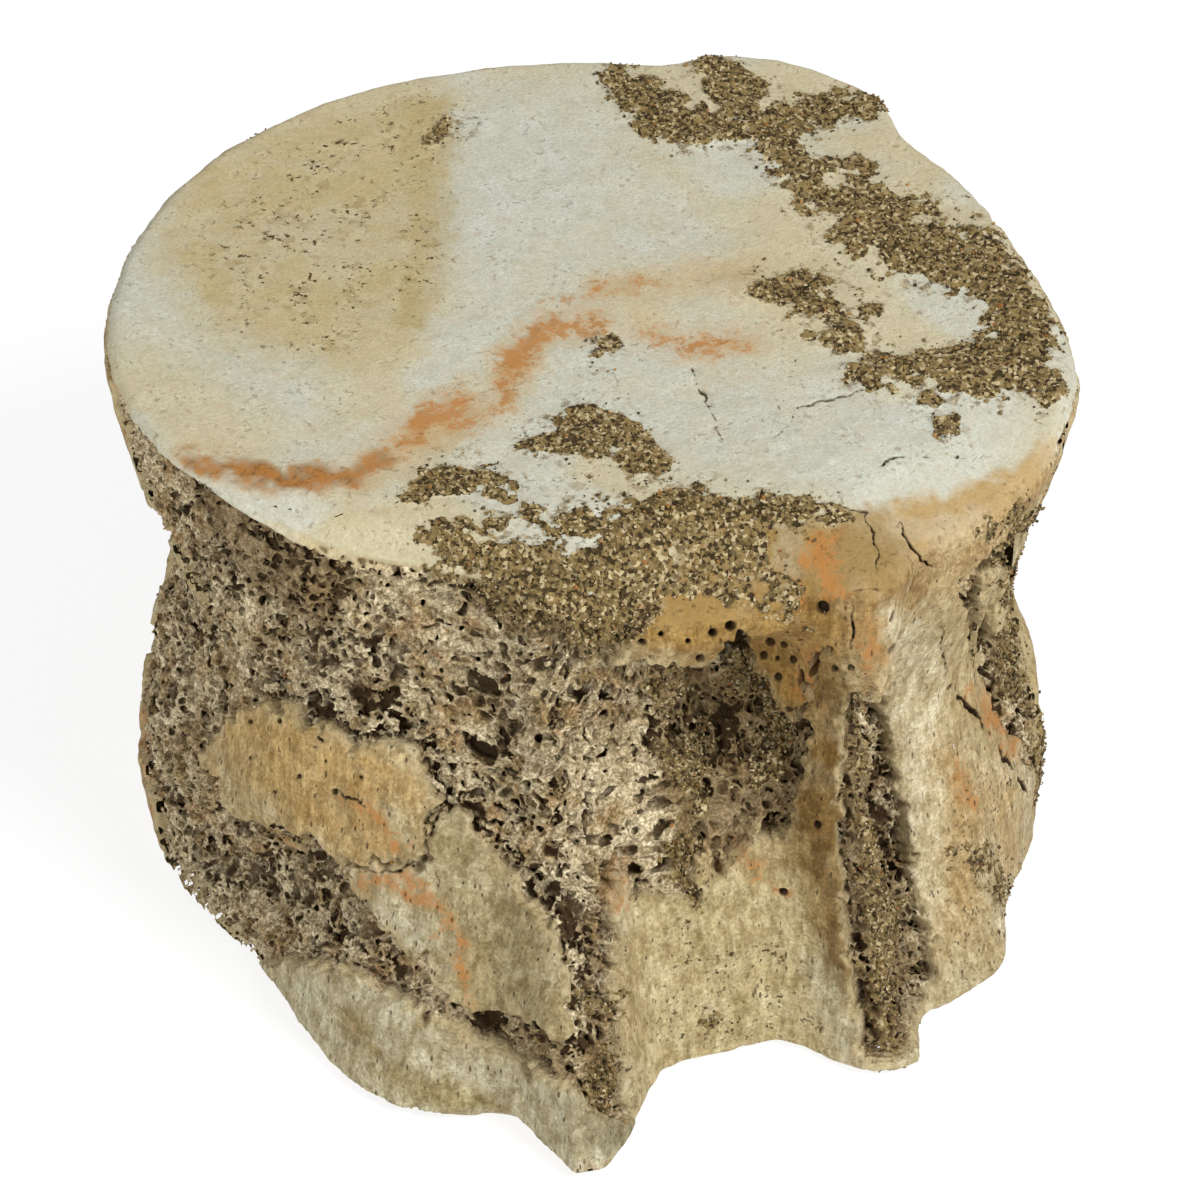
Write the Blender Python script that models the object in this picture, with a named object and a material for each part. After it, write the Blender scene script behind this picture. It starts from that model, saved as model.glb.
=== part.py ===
"""Fossil mosasaur vertebra, life size, standing on its lower articular end.

+Z runs along the centrum, -Y is the dorsal side with the neural canal, and +X is the right side.
Bearings are in degrees round the centrum's axis, from the dorsal side towards +X.
Lengths are in millimetres until each mesh is made in metres.
"""

from collections import namedtuple

import bmesh
import bpy
from mathutils import Vector, noise
import numpy as np

MM = 0.001

# The centrum, as its plain oval body
LENGTH = 72.0
HALF_WIDTH = 53.4
HALF_DEPTH = 49.8
AXIS_X = -0.9
AXIS_Y = 9.0
WAIST = 4.4
WAIST_SPREAD = 21.0

# The net of points over the surface
BEARING_STEPS = 126
LEVEL_STEPS = 23
RIM_ROUND = 1.2
UPPER_RINGS = (0.97, 0.9, 0.82, 0.73, 0.63, 0.52, 0.4, 0.27, 0.13)
LOWER_RINGS = (0.96, 0.74, 0.68, 0.34)
LOWER_DISH = 1.8

# A swelling of the side: how far it stands out at levels spread evenly from the lower end to the upper
Swelling = namedtuple("Swelling", "bearing lean spread power heights")
SWELLINGS = {
    "dorsal floor": Swelling(6, 0, 24, 2, (5.0, 3.0, 2.0, 3.0, 4.2)),
    "left pedicel": Swelling(-15.3, -5, 5.8, 2.4, (14.2, 11.5, 7.0, 3.5, 1.0)),
    "left pedicel root": Swelling(-34, 0, 18.5, 2, (12.6, 8.2, 3.5, -0.5, -3.5)),
    "left shoulder": Swelling(-62, 0, 16, 2, (-1.0, -0.5, 0.5, 0.0, -1.5)),
    "right pedicel": Swelling(17.2, 1.5, 5.4, 3, (11.0, 9.8, 8.4, 6.4, 3.0)),
    "right pedicel foot": Swelling(31, 0, 11, 3, (7.6, 1.6, 0.0, 0.0, 0.0)),
    "right flank": Swelling(50, -2, 24, 2.4, (7.0, 6.6, 5.6, 7.4, 8.8)),
    "left process": Swelling(-86, 0, 26, 2.4, (-0.8, 1.3, -1.8, -0.4, 0.2)),
    "right process": Swelling(78, 0, 18, 2, (0.6, 3.0, 0.8, 0.6, 0.4)),
    "hinder lip": Swelling(129, 0, 14, 4, (0.0, 0.0, 0.0, 1.5, 5.6)),
    "hinder rim": Swelling(-150, 0, 30, 4, (0.0, 0.0, 0.0, 0.2, 0.9)),
}

# A patch of the side, raised or sunk: middle, half sizes, how its middle climbs with the bearing
Patch = namedtuple("Patch", "bearing level half_bearing half_level climb height")
PATCHES = {
    "canal pit": Patch(7.5, 48, 9.5, 10.5, 0.0, -7.5),
    "left plate, hinder": Patch(-52, 33.5, 18, 9.5, 0.0, 1.4),
    "left plate, fore": Patch(-28, 23.0, 8, 14.0, -0.8, 1.4),
    "left cup": Patch(-64, 16, 20, 5.5, 0.35, -2.6),
    "right cleft": Patch(51, 44, 3, 20, 1.6, -1.8),
}

# Places on the hinder side where the smooth bone is worn off, which are sunk and uneven
WORN = {
    "hinder, left": Patch(-136, 40, 17, 13, 0.2, -1.6),
    "hinder, middle": Patch(176, 27, 20, 9, -0.2, -1.8),
    "hinder, right": Patch(131, 41, 13, 12, 0.3, -1.5),
    "hinder, upper": Patch(-170, 55, 12, 5, 0.0, -1.2),
    "right flank": Patch(98, 26, 11, 14, 0.0, -1.5),
}

# A bevel of the upper rim: how far the rim drops, and how far in from the rim it starts
Bevel = namedtuple("Bevel", "bearing spread drop run")
BEVELS = {
    "dorsal bevel": Bevel(1, 19, 8.5, 12.0),
    "left broken rim": Bevel(-36, 24, 3.6, 6.0),
    "right spur": Bevel(33, 16, 4.5, 12.0),
}
FACE_SAG = 0.8

# A crust of sand on the upper face: how thick it is, and the bends of its middle line in x and y
Crust = namedtuple("Crust", "height half_width bends")
CRUSTS = {
    "long": Crust(0.8, 4.2, ((30, 47), (33, 32), (34, 21), (40, 7.5), (47, -2), (47.5, -12))),
    "fork": Crust(0.6, 2.8, ((20, 47), (23.7, 37), (29, 35))),
    "isle": Crust(0.7, 3.6, ((22, 4.5), (28.4, -5.6))),
    "shore": Crust(0.6, 3.2, ((27.6, -14.4), (39.6, -18.9), (45, -16))),
}

# Broken spongy bone is uneven: the grain of the unevenness and its height, and where it lies
BROKEN_GRAIN = 5.5
BROKEN_HEIGHT = 0.75
BROKEN = (
    Patch(-72, 40, 62, 30, 0.0, 1.0),
    Patch(-5, 44, 24, 20, 0.0, 1.0),
    Patch(19, 26, 5, 30, 0.0, 0.8),
    Patch(72, 40, 22, 24, 0.0, 0.7),
)

# The planes that part the bone: the gap, two levels, and upright planes by bearing and distance
GAP = 0.3
UPPER_CUT = 61.0
LOWER_CUT = 9.0
MIDDLE_X = 1.0
Upright = namedtuple("Upright", "bearing distance")
LEFT_PEDICEL_CUT = Upright(-25.0, 53.6)
RIGHT_PEDICEL_CUT = Upright(11.0, 57.4)
LEFT_PROCESS_CUT = Upright(-78.0, 46.0)
RIGHT_PROCESS_CUT = Upright(72.0, 49.5)
CUTTER_REACH = 90.0

# Linear colours and roughness of the surfaces
Look = namedtuple("Look", "colour roughness")
LOOKS = {
    "end_face": Look((0.56, 0.51, 0.38), 0.7),
    "spongy_bone": Look((0.2, 0.15, 0.1), 0.95),
    "cortical_bone": Look((0.5, 0.38, 0.2), 0.75),
}


def turn(bearing, centre):
    """Signed angle from the centre to the bearing, from -180 to 180."""
    return (bearing - centre + 180.0) % 360.0 - 180.0


def bell(distance, spread, power=2.0):
    return np.exp(-np.abs(distance / spread) ** power)


def along(level, heights):
    """The smooth curve through values given at even steps from the lower end to the upper."""
    steps = len(heights) - 1
    spot = np.clip(level / LENGTH, 0.0, 1.0) * steps
    first = np.minimum(spot.astype(int), steps - 1)
    share = spot - first
    ends = (2 * heights[0] - heights[1], 2 * heights[-1] - heights[-2])
    padded = np.array((ends[0], *heights, ends[1]))
    before, low, high, after = (padded[first + offset] for offset in range(4))
    bend = 2 * before - 5 * low + 4 * high - after + share * (3 * (low - high) + after - before)
    return low + 0.5 * share * (high - before + share * bend)


def inside(patch, bearing, level):
    """1 inside the patch and 0 outside it, with a short slope between."""
    across = turn(bearing, patch.bearing)
    up = level - patch.level - patch.climb * across
    distance = np.hypot(across / patch.half_bearing, up / patch.half_level)
    return 1.0 / (1.0 + np.exp(np.clip(9.0 * (distance - 1.0), -30.0, 30.0)))


def side_radius(bearing, level):
    """Distance of the side from the centrum's axis."""
    across, deep = np.sin(np.radians(bearing)), np.cos(np.radians(bearing))
    radius = 1.0 / np.hypot(across / HALF_WIDTH, deep / HALF_DEPTH)
    radius = radius - WAIST * bell(level - 0.55 * LENGTH, WAIST_SPREAD)
    for swelling in SWELLINGS.values():
        centre = swelling.bearing + swelling.lean * level / LENGTH
        shape = bell(turn(bearing, centre), swelling.spread, swelling.power)
        radius = radius + shape * along(level, swelling.heights)
    for patch in (*PATCHES.values(), *WORN.values()):
        radius = radius + patch.height * inside(patch, bearing, level)
    return radius


def rim_drop(bearing, inset):
    """How far the upper face lies below its plane, at this inset from the rim."""
    drop = np.zeros_like(bearing + inset)
    for bevel in BEVELS.values():
        depth = bevel.drop * bell(turn(bearing, bevel.bearing), bevel.spread, 3)
        drop = np.maximum(drop, depth * np.clip(1.0 - inset / bevel.run, 0.0, 1.0))
    return drop


def ring_points(bearings, radii, heights):
    angle = np.radians(bearings)
    x = AXIS_X + radii * np.sin(angle)
    y = AXIS_Y - radii * np.cos(angle)
    return np.stack([x, y, heights + np.zeros_like(x)], -1)


def crust_height(points):
    """How high the crusts of sand stand on the upper face at each point."""
    height = np.zeros(len(points))
    for crust in CRUSTS.values():
        for start, end in zip(crust.bends, crust.bends[1:]):
            step = np.subtract(end, start)
            away = points[:, :2] - start
            share = np.clip(away @ step / (step @ step), 0.0, 1.0)
            distance = np.linalg.norm(away - share[:, None] * step, axis=1)
            height = np.maximum(height, crust.height * bell(distance, crust.half_width, 4))
    return height


def roughened(points, bearings, level):
    """Moves the points of broken spongy bone in and out by a smooth noise."""
    share = np.zeros_like(bearings)
    for patch in BROKEN:
        share = np.maximum(share, patch.height * inside(patch, bearings, level))
    for patch in WORN.values():
        share = np.maximum(share, inside(patch, bearings, level))
    moved = points.copy()
    for spot, amount in enumerate(share):
        away = points[spot] - (AXIS_X, AXIS_Y, points[spot][2])
        away = away / np.linalg.norm(away)
        uneven = noise.noise(Vector(points[spot] / BROKEN_GRAIN))
        moved[spot] += away * BROKEN_HEIGHT * amount * uneven
    return moved


def whole_bone_rings():
    """Rings of points from the lower face's middle, up the side, to the upper face's middle."""
    bearings = np.arange(BEARING_STEPS) * 360.0 / BEARING_STEPS - 180.0
    zero = np.zeros(BEARING_STEPS)
    rings = []
    lower = side_radius(bearings, zero)
    for share in reversed(LOWER_RINGS):
        dish = LOWER_DISH if share < 0.7 else 0.0
        rings.append(ring_points(bearings, lower * share, dish))
    rim = LENGTH - rim_drop(bearings, zero)
    for step in range(LEVEL_STEPS + 1):
        share = step / LEVEL_STEPS
        level = RIM_ROUND + (rim - 2 * RIM_ROUND) * share
        side = ring_points(bearings, side_radius(bearings, level), level)
        rings.append(roughened(side, bearings, level))
    upper = side_radius(bearings, rim)
    for share in UPPER_RINGS:
        inset = upper * (1.0 - share)
        sag = FACE_SAG * (1.0 - share * share)
        height = LENGTH - sag - rim_drop(bearings, inset)
        face = ring_points(bearings, upper * share, height)
        face[:, 2] += crust_height(face)
        rings.append(face)
    return rings


def whole_bone():
    """The vertebra as one closed mesh in metres."""
    rings = whole_bone_rings()
    shape = bmesh.new()
    rows = [[shape.verts.new(Vector(point) * MM) for point in ring] for ring in rings]
    for low, high in zip(rows, rows[1:]):
        for this in range(BEARING_STEPS):
            after = (this + 1) % BEARING_STEPS
            shape.faces.new((low[this], low[after], high[after], high[this]))
    foot = shape.verts.new(Vector((AXIS_X, AXIS_Y, LOWER_DISH)) * MM)
    top = shape.verts.new(Vector((AXIS_X, AXIS_Y, LENGTH - FACE_SAG)) * MM)
    for this in range(BEARING_STEPS):
        after = (this + 1) % BEARING_STEPS
        shape.faces.new((foot, rows[0][after], rows[0][this]))
        shape.faces.new((top, rows[-1][this], rows[-1][after]))
    bmesh.ops.triangulate(shape, faces=shape.faces)
    bmesh.ops.recalc_face_normals(shape, faces=shape.faces)
    mesh = bpy.data.meshes.new("whole_bone")
    shape.to_mesh(mesh)
    shape.free()
    return mesh


def outside_of(cut, clear=1.0):
    """The half space beyond an upright plane, as a point on it and the direction that is cut away."""
    angle = np.radians(cut.bearing)
    away = Vector((np.sin(angle), -np.cos(angle), 0.0))
    middle = Vector((AXIS_X, AXIS_Y, 0.0))
    point = middle + away * (cut.distance + 0.5 * GAP * clear)
    return point, -away * clear


def inside_of(cut):
    return outside_of(cut, clear=-1.0)


def above(level):
    return Vector((0.0, 0.0, level + 0.5 * GAP)), Vector((0.0, 0.0, -1.0))


def below(level):
    return Vector((0.0, 0.0, level - 0.5 * GAP)), Vector((0.0, 0.0, 1.0))


def beside(side):
    """The half space on one side of the upright plane between the pedicels."""
    return Vector((MIDDLE_X + 0.5 * GAP * side, 0.0, 0.0)), Vector((-side, 0.0, 0.0))


def block(walls):
    """A convex block: a large cube cut down by its walls, in metres."""
    shape = bmesh.new()
    bmesh.ops.create_cube(shape, size=2 * CUTTER_REACH * MM)
    for point, away in walls:
        parts = shape.verts[:] + shape.edges[:] + shape.faces[:]
        cut = bmesh.ops.bisect_plane(
            shape, geom=parts, plane_co=point * MM, plane_no=away, clear_outer=True
        )
        rim = [part for part in cut["geom_cut"] if isinstance(part, bmesh.types.BMEdge)]
        bmesh.ops.edgeloop_fill(shape, edges=rim)
    bmesh.ops.recalc_face_normals(shape, faces=shape.faces)
    mesh = bpy.data.meshes.new("block")
    shape.to_mesh(mesh)
    shape.free()
    return mesh


def keep_largest(mesh):
    """Keeps only the largest closed surface of the mesh, and triangulates it."""
    shape = bmesh.new()
    shape.from_mesh(mesh)
    left = set(shape.faces)
    groups = []
    while left:
        group = set()
        edge_of_group = [left.pop()]
        while edge_of_group:
            face = edge_of_group.pop()
            group.add(face)
            for edge in face.edges:
                for other in edge.link_faces:
                    if other in left:
                        left.remove(other)
                        edge_of_group.append(other)
        groups.append(group)
    largest = max(groups, key=len)
    scraps = [face for face in shape.faces if face not in largest]
    bmesh.ops.delete(shape, geom=scraps, context="FACES")
    bmesh.ops.triangulate(shape, faces=shape.faces)
    shape.to_mesh(mesh)
    shape.free()


def material(name):
    look = LOOKS[name]
    made = bpy.data.materials.new(name)
    made.use_nodes = True
    shader = made.node_tree.nodes["Principled BSDF"]
    shader.inputs["Base Color"].default_value = (*look.colour, 1.0)
    shader.inputs["Roughness"].default_value = look.roughness
    shader.inputs["Metallic"].default_value = 0.0
    return made


def bone_part(name, whole, walls, finish):
    """One named part: what the whole bone and a convex block have in common."""
    scene = bpy.context.scene.collection
    cutter = bpy.data.objects.new(name + "_block", block(walls))
    cutter.hide_render = True
    cutter.display_type = "WIRE"
    scene.objects.link(cutter)
    bone = bpy.data.objects.new(name, whole.copy())
    scene.objects.link(bone)
    cut = bone.modifiers.new("part", "BOOLEAN")
    cut.operation = "INTERSECT"
    cut.solver = "EXACT"
    cut.object = cutter
    graph = bpy.context.evaluated_depsgraph_get()
    mesh = bpy.data.meshes.new_from_object(bone.evaluated_get(graph))
    bone.modifiers.clear()
    bone.data = mesh
    bpy.data.objects.remove(cutter)
    keep_largest(mesh)
    mesh.materials.clear()
    mesh.materials.append(finish)
    mesh.shade_smooth()
    mesh.set_sharp_from_angle(angle=np.radians(50.0))
    return bone


def main():
    for old in list(bpy.data.objects):
        bpy.data.objects.remove(old)
    whole = whole_bone()
    face, spongy, cortical = (material(name) for name in LOOKS)
    body = [above(LOWER_CUT), below(UPPER_CUT)]
    no_pedicels = [inside_of(LEFT_PEDICEL_CUT), inside_of(RIGHT_PEDICEL_CUT)]
    no_processes = [inside_of(LEFT_PROCESS_CUT), inside_of(RIGHT_PROCESS_CUT)]
    bone_part("upper_articular_end", whole, [above(UPPER_CUT)], face)
    bone_part("lower_articular_end", whole, [below(LOWER_CUT), *no_pedicels], face)
    bone_part("centrum", whole, body + no_pedicels + no_processes, spongy)
    left_pedicel = [below(UPPER_CUT), outside_of(LEFT_PEDICEL_CUT), beside(-1)]
    bone_part("left_pedicel", whole, left_pedicel, cortical)
    right_pedicel = [below(UPPER_CUT), outside_of(RIGHT_PEDICEL_CUT), beside(1)]
    bone_part("right_pedicel", whole, right_pedicel, cortical)
    left_process = body + [outside_of(LEFT_PROCESS_CUT), inside_of(LEFT_PEDICEL_CUT)]
    bone_part("left_transverse_process", whole, left_process, spongy)
    right_process = body + [outside_of(RIGHT_PROCESS_CUT), inside_of(RIGHT_PEDICEL_CUT)]
    bone_part("right_transverse_process", whole, right_process, cortical)


main()
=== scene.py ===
from collections import namedtuple
import math

import bpy
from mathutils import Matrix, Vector
import numpy as np


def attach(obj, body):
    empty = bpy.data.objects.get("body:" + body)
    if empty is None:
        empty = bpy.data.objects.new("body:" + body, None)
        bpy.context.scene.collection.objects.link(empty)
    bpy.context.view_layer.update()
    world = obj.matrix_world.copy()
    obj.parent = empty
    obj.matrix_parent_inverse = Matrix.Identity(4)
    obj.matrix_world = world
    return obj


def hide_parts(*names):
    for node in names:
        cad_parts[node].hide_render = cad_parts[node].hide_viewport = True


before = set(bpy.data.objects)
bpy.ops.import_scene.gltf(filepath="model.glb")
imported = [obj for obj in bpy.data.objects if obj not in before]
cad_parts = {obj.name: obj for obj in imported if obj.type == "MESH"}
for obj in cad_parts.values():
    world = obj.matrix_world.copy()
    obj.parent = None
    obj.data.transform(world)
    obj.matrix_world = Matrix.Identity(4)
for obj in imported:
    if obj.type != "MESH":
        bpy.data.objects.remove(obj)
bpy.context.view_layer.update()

import openvdb

# The bone's skin is carved in a grid of distances, in millimetres, and turned back into a mesh.
# Places on the side that the photograph shows are given in its own pixels, 1200 across.

MM = 0.001
PHOTO = 1200
SEED = 41

# The camera of the photograph, in the frame's axes
CAMERA_AZIMUTH = -18.0
CAMERA_HEIGHT_ANGLE = 41.0
CAMERA_DISTANCE = 520.0
CAMERA_TARGET = np.array((-1.8, -6.6, 39.5))
SENSOR = 36.0
LENS = 133.5

# The bone's own axis, as its solids have it
AXIS = np.array((-0.9, 9.0))
LENGTH = 72.0

# Two grids: one for the whole bone, and one twice as fine where broken bone is seen
VOXEL = 0.46
GAP_CLOSE = 0.35
BAND_OUT = 1.3
BAND_IN = 4.2


class View:
    """The photograph's camera: where a point falls on its pixels."""

    def __init__(self):
        turn, rise = math.radians(CAMERA_AZIMUTH), math.radians(CAMERA_HEIGHT_ANGLE)
        flat = math.cos(rise)
        self.back = np.array((math.sin(turn) * flat, -math.cos(turn) * flat, math.sin(rise)))
        self.right = np.array((math.cos(turn), math.sin(turn), 0.0))
        self.up = np.cross(self.back, self.right)
        self.place = CAMERA_TARGET + self.back * CAMERA_DISTANCE
        self.scale = LENS / SENSOR * PHOTO

    def pixels(self, points):
        away = (points - self.place).astype(np.float32)
        deep = -(away @ self.back.astype(np.float32))
        across = 0.5 * PHOTO + self.scale * (away @ self.right.astype(np.float32)) / deep
        down = 0.5 * PHOTO - self.scale * (away @ self.up.astype(np.float32)) / deep
        return across, down

    def facing(self, points, normals):
        """Cosine between the surface and the direction of the camera."""
        to_camera = self.place - points
        to_camera /= np.linalg.norm(to_camera, axis=1, keepdims=True)
        return np.einsum("ij,ij->i", to_camera, normals)


VIEW = View()


# Smooth noise and cells, worked out for many points at once

TABLE = 64


def smooth_noise(points, grain, seed):
    """Smooth noise from -1 to 1 that changes over the length grain, a number or one for each axis."""
    table = np.random.default_rng(SEED + seed).uniform(-1, 1, (TABLE,) * 3).astype(np.float32)
    table = table.ravel()
    spot = points / np.asarray(grain, np.float32)
    cell = np.floor(spot)
    share = (spot - cell).astype(np.float32)
    share = share * share * (3.0 - 2.0 * share)
    cell = cell.astype(np.int64)
    near = [(cell[:, axis] & (TABLE - 1)) for axis in range(3)]
    far = [((cell[:, axis] + 1) & (TABLE - 1)) for axis in range(3)]
    result = np.zeros(len(points), np.float32)
    for corner in range(8):
        pick = [(corner >> axis) & 1 for axis in range(3)]
        index = [far[axis] if pick[axis] else near[axis] for axis in range(3)]
        weight = np.ones(len(points), np.float32)
        for axis in range(3):
            weight *= share[:, axis] if pick[axis] else 1.0 - share[:, axis]
        result += weight * table[(index[0] * TABLE + index[1]) * TABLE + index[2]]
    return result * 1.4


def cloud_noise(points, grain, seed, octaves=3):
    """Smooth noise with finer noise laid over it."""
    total = np.zeros(len(points), np.float32)
    share = 1.0
    for octave in range(octaves):
        total += share * smooth_noise(points, np.asarray(grain) / 2.0**octave, seed + 7 * octave)
        share *= 0.5
    return total


CELL_TABLE = 32


def cells(points, size, seed):
    """Distances in mm to the nearest and the second nearest of points strewn one to a cell."""
    draw = np.random.default_rng(SEED + seed)
    strewn = draw.uniform(0.08, 0.92, (CELL_TABLE**3, 3)).astype(np.float32)
    size = np.asarray(size, np.float32)
    spot = points / size
    cell = np.floor(spot)
    share = (spot - cell).astype(np.float32)
    cell = cell.astype(np.int64)
    first = np.full(len(points), 1e9, np.float32)
    second = first.copy()
    for step_x in (-1, 0, 1):
        for step_y in (-1, 0, 1):
            for step_z in (-1, 0, 1):
                index = (cell[:, 0] + step_x) & (CELL_TABLE - 1)
                index = index * CELL_TABLE + ((cell[:, 1] + step_y) & (CELL_TABLE - 1))
                index = index * CELL_TABLE + ((cell[:, 2] + step_z) & (CELL_TABLE - 1))
                away = strewn[index]
                away -= share
                away += np.array((step_x, step_y, step_z), np.float32)
                away *= size
                distance = np.einsum("ij,ij->i", away, away)
                second = np.minimum(second, np.maximum(first, distance))
                first = np.minimum(first, distance)
    return np.sqrt(first), np.sqrt(second)


# Canvases: areas of the photograph, painted with given outlines

CANVAS_STEP = 2.0
CANVAS_SIZE = int(PHOTO / CANVAS_STEP)


def canvas_pixels():
    line = (np.arange(CANVAS_SIZE) + 0.5) * CANVAS_STEP
    return np.meshgrid(line, line)


ACROSS, DOWN = canvas_pixels()


def distance_to_line(start, end):
    """Distance in pixels to a straight line, and how far along it the nearest point lies."""
    along = np.array(end, float) - np.array(start, float)
    length = max(float(along @ along), 1e-9)
    share = ((ACROSS - start[0]) * along[0] + (DOWN - start[1]) * along[1]) / length
    share = np.clip(share, 0.0, 1.0)
    gap = np.hypot(ACROSS - start[0] - share * along[0], DOWN - start[1] - share * along[1])
    return gap, share


def stroke(*beads):
    """Distance in pixels inside a brush stroke through beads of (across, down, half width)."""
    inside = np.full(ACROSS.shape, -1e4)
    if len(beads) == 1:
        beads = beads * 2
    for start, end in zip(beads, beads[1:]):
        gap, share = distance_to_line(start[:2], end[:2])
        width = start[2] + share * (end[2] - start[2])
        inside = np.maximum(inside, width - gap)
    return inside


def area(*corners):
    """Distance in pixels inside a closed outline, negative outside it."""
    inside = np.zeros(ACROSS.shape, bool)
    edge = np.full(ACROSS.shape, 1e4)
    for start, end in zip(corners, corners[1:] + corners[:1]):
        gap, _ = distance_to_line(start, end)
        edge = np.minimum(edge, gap)
        if start[1] != end[1]:
            crosses = (start[1] > DOWN) != (end[1] > DOWN)
            slope = (end[0] - start[0]) / (end[1] - start[1])
            inside ^= crosses & (ACROSS < start[0] + slope * (DOWN - start[1]))
    return np.where(inside, edge, -edge)


def painted(shapes, soft):
    """One canvas from 0 to 1 that holds all these shapes, with edges this many pixels soft."""
    together = np.maximum.reduce(shapes)
    return np.clip(0.5 + together / soft, 0.0, 1.0).astype(np.float32)


def looked_up(canvas, across, down):
    """The canvas's value at each pixel place."""
    column = np.clip(across / CANVAS_STEP - 0.5, 0, CANVAS_SIZE - 1.001)
    row = np.clip(down / CANVAS_STEP - 0.5, 0, CANVAS_SIZE - 1.001)
    left = column.astype(np.int32)
    top = row.astype(np.int32)
    share_x = (column - left).astype(np.float32)
    share_y = (row - top).astype(np.float32)
    flat = canvas.ravel()
    index = top * CANVAS_SIZE + left
    upper = flat[index] * (1 - share_x) + flat[index + 1] * share_x
    lower = flat[index + CANVAS_SIZE] * (1 - share_x) + flat[index + CANVAS_SIZE + 1] * share_x
    return upper * (1 - share_y) + lower * share_y


SAND = painted(
    (
        stroke((700, 62, 12), (735, 90, 22), (775, 135, 24), (815, 185, 26), (860, 212, 32)),
        stroke((860, 212, 32), (905, 240, 38), (960, 255, 34), (1010, 290, 30), (1040, 335, 14)),
        stroke((775, 125, 14), (815, 112, 12), (868, 104, 10)),
        stroke((618, 70, 10), (640, 98, 17), (690, 128, 20), (738, 128, 12)),
        stroke((765, 285, 12), (810, 298, 30), (850, 325, 22)),
        stroke((870, 372, 18), (930, 372, 22), (985, 375, 26), (1020, 350, 30), (1040, 392, 10)),
        stroke((408, 496, 8), (445, 480, 22), (492, 480, 14)),
        stroke((540, 440, 14), (585, 428, 22), (625, 442, 20), (655, 465, 10)),
        stroke((425, 535, 10), (480, 560, 22), (540, 580, 40), (600, 592, 46), (640, 570, 34)),
        stroke((640, 570, 34), (660, 522, 30), (700, 512, 24), (760, 516, 22), (830, 512, 8)),
        stroke((690, 545, 16), (740, 562, 24), (780, 588, 24), (792, 615, 12)),
        stroke((640, 590, 16), (700, 588, 10), (740, 590, 10)),
        stroke((500, 520, 10), (560, 530, 14), (620, 520, 16), (680, 500, 14)),
        stroke((470, 590, 4), (520, 610, 20), (590, 625, 28), (650, 615, 20)),
        stroke((600, 352, 11)),
        stroke((945, 432, 10)),
        stroke((440, 130, 9), (462, 124, 5)),
        stroke((1010, 545, 22), (1030, 520, 18), (1024, 580, 16), (1022, 640, 14), (1024, 690, 10)),
        stroke((862, 700, 2), (862, 760, 7), (866, 820, 9), (882, 900, 12), (885, 960, 18), (890, 1050, 12)),
        stroke((655, 700, 8), (700, 692, 10), (748, 690, 12), (770, 740, 12), (755, 790, 8)),
        stroke((700, 740, 8), (694, 790, 10), (700, 820, 6)),
        stroke((612, 1000, 4), (608, 1060, 8), (610, 1110, 8)),
        stroke((684, 840, 9), (692, 890, 11)),
        stroke((719, 954, 8)),
        stroke((715, 1028, 6)),
        stroke((975, 860, 14), (1000, 890, 12)),
    ),
    soft=44,
)
Paint = namedtuple("Paint", "colour strength soft shapes")
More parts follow.
